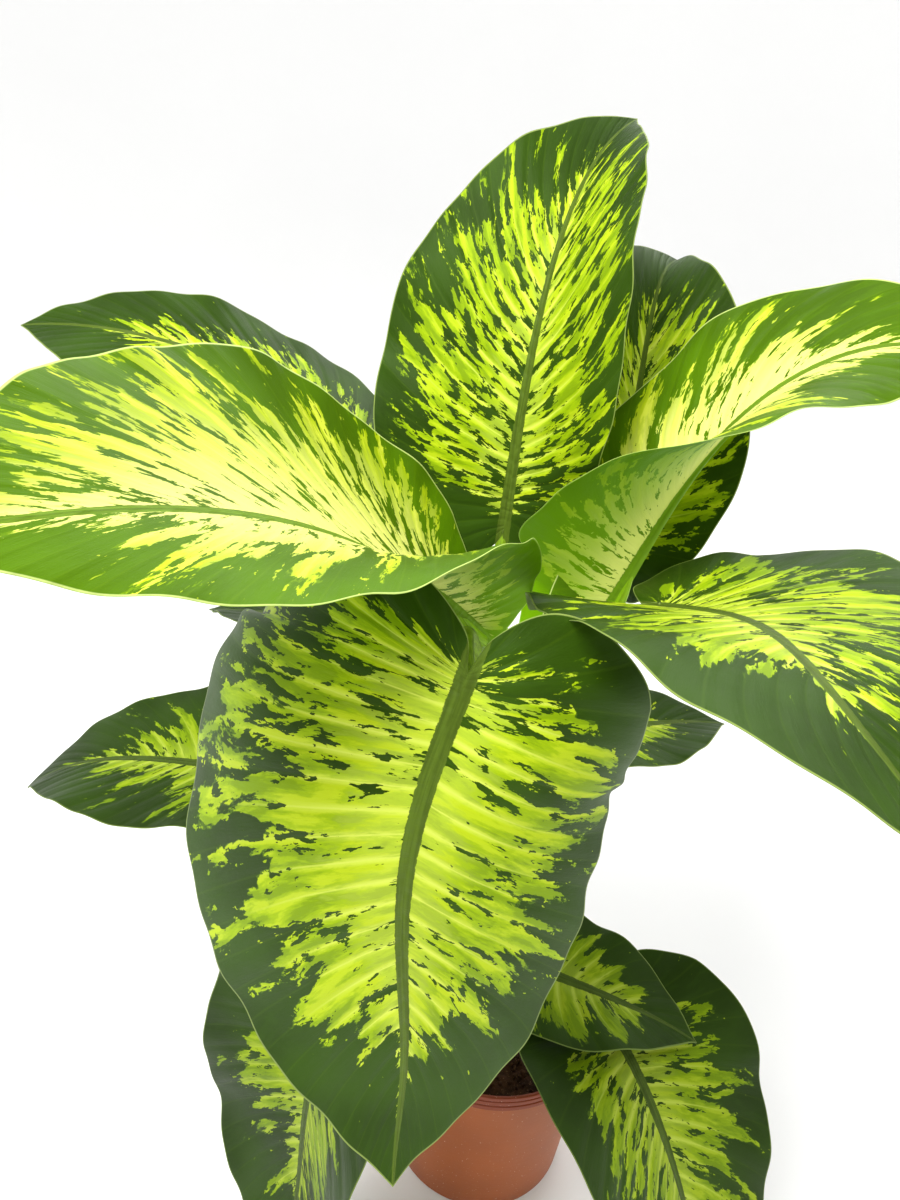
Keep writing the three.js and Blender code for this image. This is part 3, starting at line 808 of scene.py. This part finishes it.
class BladePaint:
    def __init__(self, name, marking, seed):
        g = Graph(name)
        self.g = g
        self.marking = marking
        self.seed = seed
        self.tones = linear_tones(TONES[marking["look"]])
        self.shares = SHARES[marking["look"]]
        self.lighter = brighter(self.tones["dark"], 1.7)
        self.along, self.out, self.edge = g.attribute("weave")
        self.share, self.rib, self.under = g.attribute("spot")
        self.run, self.u, self.left = g.attribute("run")
        self.wander = g.noise(g.here(), scale=22.0, detail=2.0)
        self.sway = g.add(self.along, g.swing(self.wander, STREAK_SWAY))
        self.broad = self.streaks("broad", self.sway)
        self.ragged = self.streaks("ragged", self.sway)
        self.fine = self.streaks("fine", self.sway)
        self.from_gap = self.vein_gap()
        self.vein = self.near_vein(outer=0.8, inner=0.1)
        self.band = self.near_vein(outer=4.5, inner=0)

    def streaks(self, kind, along):
        g = self.g
        width, length, more_seed, detail = STREAKS[kind]
        place = g.vector(g.times(along, 1 / width), g.times(self.out, 1 / length), self.seed + more_seed)
        return g.noise(place, 1.0, detail, roughness=0.62, distortion=0.25)

    # Millimetres from the middle between two side veins
    def vein_gap(self):
        g = self.g
        turn = g.math("FRACT", g.times(g.add(self.along, g.times(self.wander, 1.5)), 1 / VEIN_SPACING))
        return g.times(g.math("ABSOLUTE", g.math("SUBTRACT", turn, 0.5)), VEIN_SPACING)

    # 1 from a side vein to inner millimetres beside it, and 0 beyond outer
    def near_vein(self, outer, inner):
        half = 0.5 * VEIN_SPACING
        return self.g.step(self.from_gap, half - outer, half - inner)

    # How far inside the lime part a point is: that reaches out from the midrib by a share of the
    # half width, which grows and shrinks along the margin, and streaks run over its border
    def lime_level(self):
        g = self.g
        left, right = self.marking["left"], self.marking["right"]
        foot, tip, midrib = self.marking["foot"], self.marking["tip"], self.marking["midrib"]
        span = g.curve(self.run, [
            (0, 0.0), (foot + 0.01, 0.12), (foot + 0.07, 0.45), (foot + 0.16, 0.8), (foot + 0.3, 1.0),
            (tip - 0.24, 0.96), (tip - 0.12, 0.72), (min(1, tip - 0.05), 0.4), (min(1, tip - 0.005), 0.0),
        ])
        reach = g.times(span, g.add(right, g.times(self.left, left - right)))
        return g.add(
            g.math("SUBTRACT", reach, self.share),
            g.swing(self.broad, 1.3),
            g.swing(self.ragged, 1.0),
            g.swing(self.fine, 0.4),
            g.step(self.u, midrib + 0.12, midrib - 0.03, 0.0, -0.8),
            g.step(self.share, 0.25, 0.0, 0.0, 0.15),
        )

    # The lime part, and lime islands outside it
    def lime_mask(self, level):
        g = self.g
        island = g.add(self.streaks("island", self.sway), g.step(level, -0.35, -0.05, -0.1, 0.0))
        return g.math("MAXIMUM", g.step(level, -0.006, 0.01), g.step(island, 0.62, 0.63))

    # Dark flecks inside the lime part, more of them towards its border
    def fleck_mask(self, level):
        g = self.g
        fleck = g.add(
            self.streaks("fleck", self.sway),
            g.step(level, 0.6, 0.0, 0.0, 0.05),
            g.step(self.u, 0.35, 0.0, 0.0, 0.04),
            g.swing(self.broad, -0.2),
            g.swing(self.fine, 0.2),
        )
        start = 0.675 - 0.1 * self.marking["flecks"]
        return g.step(fleck, start, start + 0.01)

    def dark(self):
        g = self.g
        cloud = g.noise(g.here(), scale=14.0, detail=2.0, roughness=0.5)
        dark = g.cover(self.tones["dark"], self.lighter, cloud, 0.3, 0.7)
        return g.cover(dark, self.lighter, self.ragged, 0.5, 0.62, 0.3)

    # Washes of three limes, paler towards the midrib, on the side veins and in stretches beside them
    def lime(self):
        g = self.g
        tones = self.tones
        wash = self.streaks("wash", self.sway)
        inward = g.step(self.share, 0.9, 0.1)
        level = g.add(wash, g.swing(self.band, 0.10, 0.4), g.times(inward, 0.06))
        lime = g.cover(g.mix(0.55, tones["lime"], tones["middle"]), tones["lime"], level, 0.42, 0.52)
        lime = g.cover(lime, tones["bright"], level, 0.52, 0.62)
        pale_level = g.add(self.share, g.swing(wash, 0.8))
        lime = g.cover(lime, tones["pale"], pale_level, self.shares["pale_reach"], 0.1, self.shares["pale"])
        lime = g.mix(g.times(g.times(self.vein, inward), 0.75), lime, tones["pale"])
        beside = g.times(self.near_vein(outer=3.2, inner=0.6), g.step(wash, 0.36, 0.56))
        beside = g.times(beside, g.step(self.share, 0.6, 0.08))
        return g.mix(g.times(beside, 0.6), lime, tones["pale"])

    def with_midrib(self, colour):
        g = self.g
        rib_tone = self.tones["rib"]
        place = g.vector(g.times(self.along, 0.02), g.times(self.rib, 2.2), self.seed)
        streak = g.noise(place, scale=1.0, detail=4.0, roughness=0.6)
        rib_colour = g.cover(rib_tone, brighter(rib_tone, 1.5), streak, 0.35, 0.65)
        border = g.add(self.rib, g.swing(self.fine, 0.5))
        return g.cover(colour, rib_colour, border, 1.06, 0.98)

    # The underside has a share of its own green, on a young leaf more of it away from the midrib
    def with_underside(self, colour):
        g = self.g
        own_green = g.step(self.share, 0.08, 0.45, *self.shares["under"])
        underside = g.mix(own_green, colour, self.tones["under"])
        return g.mix(self.under, colour, underside)

    def colour(self):
        g = self.g
        tones = self.tones
        level = self.lime_level()
        dark = self.dark()
        fringe = g.mix(0.4, self.lighter, tones["middle"])
        colour = g.cover(dark, fringe, level, -0.045, -0.03)
        colour = g.mix(self.lime_mask(level), colour, self.lime())
        colour = g.mix(self.fleck_mask(level), colour, dark)
        colour = g.mix(g.times(self.vein, 0.08), colour, tones["middle"])
        colour = self.with_midrib(colour)
        # A thin pale line along the margin: partly the leaf's own paler margin, partly a painted highlight
        # where its edge catches the light
        colour = g.cover(colour, tones["edge"], self.edge, 0.9, 0.4)
        return self.with_underside(colour)


def leaf_material(name, marking, seed):
    paint = BladePaint(name, marking, seed)
    g = paint.g
    mottle = g.noise(g.here(), scale=70.0, detail=4.0, roughness=0.6)
    grain = paint.streaks("grain", paint.along)
    roughness = g.add(0.38, g.times(mottle, 0.14), g.times(paint.under, 0.12))
    height = g.add(g.times(paint.band, -0.5), g.times(grain, 0.28), g.times(mottle, 0.25))
    g.shader.inputs["Specular Tint"].default_value = LEAF_GLOSS_TINT
    bump = g.bump(height, strength=0.5, distance=0.0012)
    return g.finish(paint.colour(), roughness, bump, specular=0.14)


def stalk_material(name, tones):
    g = Graph(name)
    length, around, s = g.attribute("weave")
    place = g.round_place(g.times(around, 2 * math.pi), g.times(length, 0.02))
    streak = g.noise(place, scale=3.0, detail=5.0, roughness=0.6)
    blotch = g.noise(g.here(), scale=90.0, detail=4.0, roughness=0.6)
    light = linear(tuple(c * 1.3 for c in tones["stalk"]))
    colour = g.cover(linear(tones["stalk"]), light, streak, 0.38, 0.6)
    colour = g.cover(colour, linear(tones["middle"]), blotch, 0.56, 0.62, 0.5)
    colour = g.cover(colour, linear(tones["under"]), s, 0.35, 0.0, 0.35)
    roughness = g.add(0.4, g.times(blotch, 0.15))
    bump = g.bump(g.add(streak, blotch), strength=0.25, distance=0.0008)
    return g.finish(colour, roughness, bump, specular=0.15)


def make_leaf(name, leaf, number):
    shape = LeafShape(leaf)
    parts = MeshParts()
    blade(parts, shape, np.random.default_rng(SEED + number))
    stalk(parts, shape)
    marking = MARKINGS[name]
    materials = [
        leaf_material(f"blade_{name}", marking, LEAF_SEED_STEP * number),
        stalk_material(f"stalk_{name}", TONES[marking["look"]]),
    ]
    piece = parts.build(f"fine_leaf_{name}", materials, cad_box)
    take_place(piece, f"leaf_{name}")


# Cane, pot and soil

# A profile of radii and heights, turned about an upright axis, or about the line of its centres
def turned(parts, profile, sides, centre=None):
    angle = np.linspace(0, 2 * math.pi, sides, endpoint=False)
    rows = []
    for radius, z in profile:
        middle = centre(z) if centre else np.array([0, 0, z])
        ring = np.stack([radius * np.cos(angle), radius * np.sin(angle), 0 * angle], -1)
        rows.append(middle + ring)
    points = np.array(rows)
    weave = np.stack([points[..., 2], angle + 0 * points[..., 2], 0 * points[..., 2]], -1)
    return parts.grid(points, 0, {"weave": weave}, wrap=True)


# Where a height is in the turn from one ring scar to the next
def ring_phase(z):
    return (z - CANE_FIRST_RING) / CANE_RING_STEP % 1


def cane_material():
    g = Graph("cane_skin")
    tones = linear_tones(CANE_TONES)
    height, turn, _ = g.attribute("weave")
    phase = g.math("FRACT", g.swing(height, 1 / CANE_RING_STEP, CANE_FIRST_RING))
    scar = g.step(phase, 0.2, 0.05)
    place = g.round_place(turn, g.times(height, 0.012))
    streak = g.noise(place, scale=3.5, detail=5.0, roughness=0.62)
    spots = g.noise(g.here(), scale=120.0, detail=4.0, roughness=0.6)
    colour = g.cover(tones["dark"], tones["light"], streak, 0.36, 0.64)
    colour = g.cover(colour, tones["spot"], spots, 0.52, 0.62, 0.5)
    colour = g.mix(g.times(scar, 0.75), colour, tones["scar"])
    colour = g.cover(colour, tones["low"], height, 260.0, 150.0, 0.55)
    roughness = g.add(0.42, g.times(spots, 0.25))
    bump = g.bump(g.add(streak, spots, scar), strength=0.4, distance=0.001)
    return g.finish(colour, roughness, bump)


def make_cane():
    parts = MeshParts()
    profile = [(cane_radius(CANE_BURIED), CANE_BURIED)]
    for z in np.arange(CANE_BURIED + CANE_FIRST_ROW, CANE_TOP - CANE_LAST_ROW, CANE_ROW_STEP):
        ridges = [
            height * math.exp(-((ring_phase(z) - place) / width) ** 2)
            for height, place, width in CANE_RIDGES
        ]
        profile.append((cane_radius(z) + sum(ridges) - CANE_SINK, z))
    profile += [(radius, CANE_TOP - drop) for radius, drop in CANE_END]
    parts.close(turned(parts, profile, CANE_SIDES, cane_centre))
    take_place(parts.build("fine_cane", [cane_material()]), "cane")


def outer_radius(z):
    return POT_BASE_RADIUS + (POT_RIM_RADIUS - RIM_STEP - POT_BASE_RADIUS) * z / RIM_FOOT


def pot_material():
    g = Graph("pot_plastic")
    tones = linear_tones(POT_TONES)
    height, turn, _ = g.attribute("weave")
    cloud = g.noise(g.here(), scale=14.0, detail=3.0, roughness=0.5)
    speck = g.noise(g.here(), scale=700.0, detail=2.0, roughness=0.5)
    place = g.vector(g.times(turn, 2.0), g.times(height, 0.35))
    scuff = g.noise(place, scale=1.0, detail=6.0, roughness=0.7)
    colour = g.cover(tones["dark"], tones["light"], cloud, 0.3, 0.7)
    colour = g.cover(colour, tones["scuff"], scuff, 0.6, 0.72, 0.25)
    # Painted shade: the rim band is made darker red-brown
    colour = g.cover(colour, tones["rim_painted_shade"], height, RIM_FOOT - 2.0, RIM_FOOT + 1.0, 0.8)
    colour = g.cover(colour, tones["dust"], speck, 0.70, 0.74, 0.6)
    roughness = g.add(0.34, g.times(cloud, 0.12), g.times(scuff, 0.08))
    bump = g.bump(g.add(g.times(speck, 0.5), scuff), strength=0.12, distance=0.0006)
    return g.finish(colour, roughness, bump, specular=0.3)


def rounded(corner_in, corner, corner_out, radius, steps=5):
    a = np.array(corner_in, float) - corner
    b = np.array(corner_out, float) - corner
    start = corner + a / np.linalg.norm(a) * radius
    end = corner + b / np.linalg.norm(b) * radius
    t = np.linspace(0, 1, steps)[:, None]
    return (start * (1 - t) ** 2 + 2 * np.array(corner) * t * (1 - t) + end * t ** 2).tolist()


# The corners of a groove round the rim, with the radius that rounds each
def groove_corners(rise, inset_below, inset_above):
    low = RIM_FOOT + rise
    bottom = POT_RIM_RADIUS - inset_below - RIM_GROOVE_DEPTH
    return [
        ((POT_RIM_RADIUS - inset_below, low), RIM_GROOVE_ROUNDING),
        ((bottom, low + RIM_GROOVE_DEPTH), RIM_GROOVE_ROUNDING),
        ((POT_RIM_RADIUS - inset_above, low + 2 * RIM_GROOVE_DEPTH), RIM_GROOVE_ROUNDING),
    ]


# The pot's section from the middle of its underside, round the rim, to the middle of its floor,
# each corner with the radius that rounds it
def pot_profile():
    corners = [
        ((0, 0), 0),
        ((POT_BASE_RADIUS, 0), 1.6),
        ((outer_radius(RIM_FOOT), RIM_FOOT), 0.4),
        ((POT_RIM_RADIUS - RIM_INSET, RIM_FOOT + 0.3), 0.7),
    ]
    for groove in RIM_GROOVES:
        corners += groove_corners(*groove)
    corners += [
        ((POT_RIM_RADIUS, POT_HEIGHT), 1.1),
        ((POT_RIM_RADIUS - RIM_WALL, POT_HEIGHT), 0.8),
        ((outer_radius(RIM_FOOT) - POT_WALL, RIM_FOOT), 1.5),
        ((outer_radius(POT_FLOOR) - POT_WALL, POT_FLOOR), 1.5),
        ((0, POT_FLOOR), 0),
    ]
    profile = [(CENTRE_RADIUS, 0)]
    for i in range(1, len(corners) - 1):
        profile += rounded(corners[i - 1][0], corners[i][0], corners[i + 1][0], corners[i][1])
    return profile + [(CENTRE_RADIUS, POT_FLOOR)]


def make_pot():
    parts = MeshParts()
    parts.close(turned(parts, pot_profile(), POT_SIDES))
    piece = parts.build("fine_pot", [pot_material()])
    drill_holes(piece)
    take_place(piece, "pot")


def drill_holes(piece):
    parts = MeshParts()
    drill_profile = [(DRAIN_HOLE_RADIUS, -DRILL_BELOW), (DRAIN_HOLE_RADIUS, 3 * POT_FLOOR)]
    for i in range(DRAIN_HOLES):
        turn = 2 * math.pi * i / DRAIN_HOLES
        middle = DRAIN_CIRCLE_RADIUS * np.array([math.cos(turn), math.sin(turn), 0])
        rings = turned(parts, drill_profile, DRAIN_HOLE_SIDES, lambda z: middle + np.array([0, 0, z]))
        parts.close(rings)
    drill = parts.build("drain_drill", [])
    cut = piece.modifiers.new("drain", "BOOLEAN")
    cut.operation = "DIFFERENCE"
    cut.object = drill
    cut.solver = "EXACT"
    graph = bpy.context.evaluated_depsgraph_get()
    mesh = bpy.data.meshes.new_from_object(piece.evaluated_get(graph))
    piece.modifiers.clear()
    piece.data = mesh
    bpy.data.objects.remove(drill)


def soil_material():
    g = Graph("potting_soil")
    tones = linear_tones(SOIL_TONES)
    place = g.here()
    crumb = g.noise(place, scale=260.0, detail=5.0, roughness=0.65)
    clod = g.noise(place, scale=60.0, detail=4.0, roughness=0.6)
    turned_place = g.node("VectorRotate", {"Vector": place, "Angle": 0.6}).outputs[0]
    fibre = g.noise(turned_place, scale=900.0, detail=2.0, roughness=0.5)
    colour = g.cover(tones["dark"], tones["light"], clod, 0.35, 0.65)
    colour = g.cover(colour, tones["crumb"], crumb, 0.56, 0.66, 0.6)
    colour = g.cover(colour, tones["fibre"], fibre, 0.66, 0.70, 0.5)
    roughness = g.add(0.82, g.times(crumb, 0.15))
    bump = g.bump(g.add(crumb, clod), strength=0.8, distance=0.002)
    return g.finish(colour, roughness, bump, specular=0.12)


def soil_height(radius, edge):
    mound = SOIL_MOUND * (1 - (radius / edge) ** 2)
    return POT_HEIGHT - SOIL_DEPTH_UNDER_RIM + mound - SOIL_SINK


def waves_on(x, y, random, height, count, smallest, largest):
    total = 0 * x
    for _ in range(count):
        turn = random.uniform(0, 2 * math.pi)
        size = random.uniform(smallest, largest)
        phase = random.uniform(0, 2 * math.pi)
        total = total + np.sin((x * math.cos(turn) + y * math.sin(turn)) / size + phase)
    return height * total / count ** 0.5


# Rings of points at so many radii, one height to a ring or a height for each point
def rings_at(radii, angle, height):
    x = radii[:, None] * np.cos(angle)
    y = radii[:, None] * np.sin(angle)
    return np.stack([x, y, height + 0 * x], -1)


def make_soil():
    random = np.random.default_rng(SEED)
    edge = outer_radius(RIM_FOOT) - POT_WALL - CLEARANCE
    radii = np.linspace(0.2, edge, SOIL_RINGS)
    angle = np.linspace(0, 2 * math.pi, SOIL_SIDES, endpoint=False)
    flat = rings_at(radii, angle, soil_height(radii, edge)[:, None])
    x, y = flat[..., 0], flat[..., 1]
    rough = waves_on(x, y, random, *SOIL_LUMPS) + waves_on(x, y, random, *SOIL_GRAINS)
    calm = fade(edge - radii, 0, SOIL_CALM_EDGE)[:, None]
    flat[..., 2] += np.clip(rough, *SOIL_RELIEF) * calm
    parts = MeshParts()
    top = parts.grid(flat, wrap=True)
    parts.fan(top[0])
    shoulder = POT_HEIGHT - SOIL_DEPTH_UNDER_RIM - SOIL_SHOULDER
    side_z = np.array([shoulder, SOIL_WAIST, POT_FLOOR + CLEARANCE])
    side_r = outer_radius(side_z) - POT_WALL - CLEARANCE
    side = parts.grid(rings_at(side_r, angle, side_z[:, None]), wrap=True)
    parts.strip(top[-1], side[0])
    parts.fan(side[-1])
    for _ in range(CRUMBS):
        add_crumb(parts, random, edge)
    take_place(parts.build("fine_soil", [soil_material()]), "soil")


def add_crumb(parts, random, edge):
    radius = edge * math.sqrt(random.uniform(*CRUMB_SPREAD))
    turn = random.uniform(0, 2 * math.pi)
    size = random.uniform(*CRUMB_SIZE)
    stretch = random.uniform(*CRUMB_STRETCH, 3)
    tilt = random.uniform(0, math.pi)
    around = np.linspace(0, 2 * math.pi, CRUMB_SIDES, endpoint=False)
    lump = size * random.uniform(*CRUMB_LUMP, (len(CRUMB_RINGS), CRUMB_SIDES))
    x = CRUMB_RINGS[:, None] * np.cos(around) * lump * stretch[0]
    y = CRUMB_RINGS[:, None] * np.sin(around) * lump * stretch[1]
    z = CRUMB_HEIGHTS[:, None] * lump * stretch[2] * CRUMB_FLATNESS
    tilted_x = x * math.cos(tilt) - z * math.sin(tilt)
    tilted_z = x * math.sin(tilt) + z * math.cos(tilt)
    height = soil_height(radius, edge) + CRUMB_LIFT * size
    centre = np.array([radius * math.cos(turn), radius * math.sin(turn), height])
    parts.close(parts.grid(np.stack([tilted_x, y, tilted_z], -1) + centre, wrap=True))


# Camera, floor and light

def make_camera():
    data = bpy.data.cameras.new("camera")
    data.lens = CAMERA_LENS
    data.sensor_width = CAMERA_SENSOR
    data.clip_start = CAMERA_NEAR
    camera = add_object("camera", data)
    forward = Vector((0, math.cos(CAMERA_DOWN), -math.sin(CAMERA_DOWN)))
    level = Vector((1, 0, 0))
    up = level.cross(forward)
    right = math.cos(CAMERA_ROLL) * level + math.sin(CAMERA_ROLL) * up
    top = math.cos(CAMERA_ROLL) * up - math.sin(CAMERA_ROLL) * level
    turn = Matrix((right, top, -forward)).transposed().to_4x4()
    camera.matrix_world = Matrix.Translation(CAMERA_PLACE) @ turn
    bpy.context.scene.camera = camera


# A flat floor that bends up into a wall all round
def make_floor():
    g = Graph("pale_floor")
    cloud = g.noise(g.here(), scale=1.5, detail=2.0, roughness=0.5)
    g.feed(g.shader.inputs["Base Color"], g.mix(cloud, *FLOOR_TONES))
    g.shader.inputs["Roughness"].default_value = 0.7
    flat = np.linspace(FLOOR_CENTRE, FLOOR_RADIUS, FLOOR_RINGS)
    bend = np.linspace(0, math.pi / 2, BEND_RINGS)[1:]
    profile = [(radius / MM, 0) for radius in flat]
    profile += [
        ((FLOOR_RADIUS + FLOOR_BEND * math.sin(a)) / MM, FLOOR_BEND * (1 - math.cos(a)) / MM)
        for a in bend
    ]
    profile.append(((FLOOR_RADIUS + FLOOR_BEND) / MM, WALL_TOP / MM))
    parts = MeshParts()
    index = turned(parts, profile, FLOOR_SIDES)
    parts.fan(index[0])
    floor = parts.build("floor", [g.material])


def make_lamp(name, place, size, power):
    data = bpy.data.lights.new(name, "AREA")
    data.shape = "DISK"
    data.size = size
    data.energy = power
    aim = LAMP_AIM - Vector(place)
    turn = aim.to_track_quat("-Z", "Y").to_matrix().to_4x4()
    add_object(name, data).matrix_world = Matrix.Translation(place) @ turn


def make_light():
    world = bpy.data.worlds.new("studio")
    world.use_nodes = True
    background = world.node_tree.nodes["Background"]
    background.inputs["Color"].default_value = (1, 1, 1, 1)
    background.inputs["Strength"].default_value = WORLD_STRENGTH
    bpy.context.scene.world = world
    for name, lamp in LAMPS.items():
        make_lamp(name, *lamp)


bpy.context.scene.view_settings.view_transform = "Standard"
make_camera()
make_floor()
make_light()
make_pot()
make_soil()
make_cane()
for leaf_number, (leaf_name, leaf_row) in enumerate(LEAVES.items(), 1):
    make_leaf(leaf_name, leaf_row, leaf_number)

bpy.context.view_layer.update()
